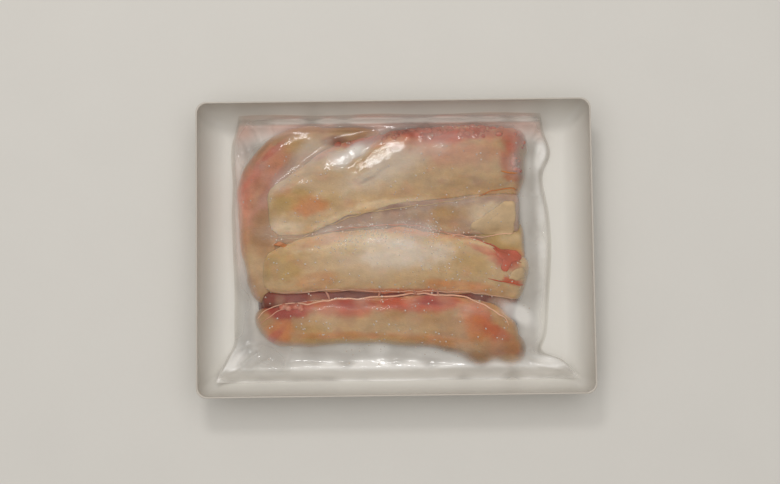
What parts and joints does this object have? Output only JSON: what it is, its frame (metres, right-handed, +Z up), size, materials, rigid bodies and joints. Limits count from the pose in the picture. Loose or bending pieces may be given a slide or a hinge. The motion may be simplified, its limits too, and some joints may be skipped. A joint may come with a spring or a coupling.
{
  "type": "packed king crab leg meat",
  "caption": "Shallow white plastic tray of peeled king crab leg meat lying side by side, sealed under a clear film that clings to the meat and slopes down to the tray.",
  "frame": {"origin": "middle of the tray's footprint, on the surface that the tray stands on", "axes": "+X along the tray's length, +Y across it towards the largest leg, +Z up out of the tray"},
  "size_m": [0.214, 0.16, 0.028],
  "materials": {
    "tray_plastic": "smooth white plastic with a soft gloss",
    "clear_film": "thin clear film, wet and glossy, with small bubbles and creases",
    "crab_meat": "moist cream to olive meat with a coral red blush along one edge",
    "crab_meat_red": "moist beige meat with a red band and orange ends",
    "crab_meat_shaded": "grey brown meat lying lower, wet with juice"
  },
  "bodies": {
    "root": {"tray": "tray_plastic", "skin_film": "clear_film", "leg_back": "crab_meat", "leg_middle": "crab_meat", "leg_front": "crab_meat_red", "leg_left": "crab_meat_red", "leg_under_back": "crab_meat_shaded", "leg_under_right": "crab_meat_shaded", "leg_under_front": "crab_meat_shaded"}
  },
  "joints": []
}
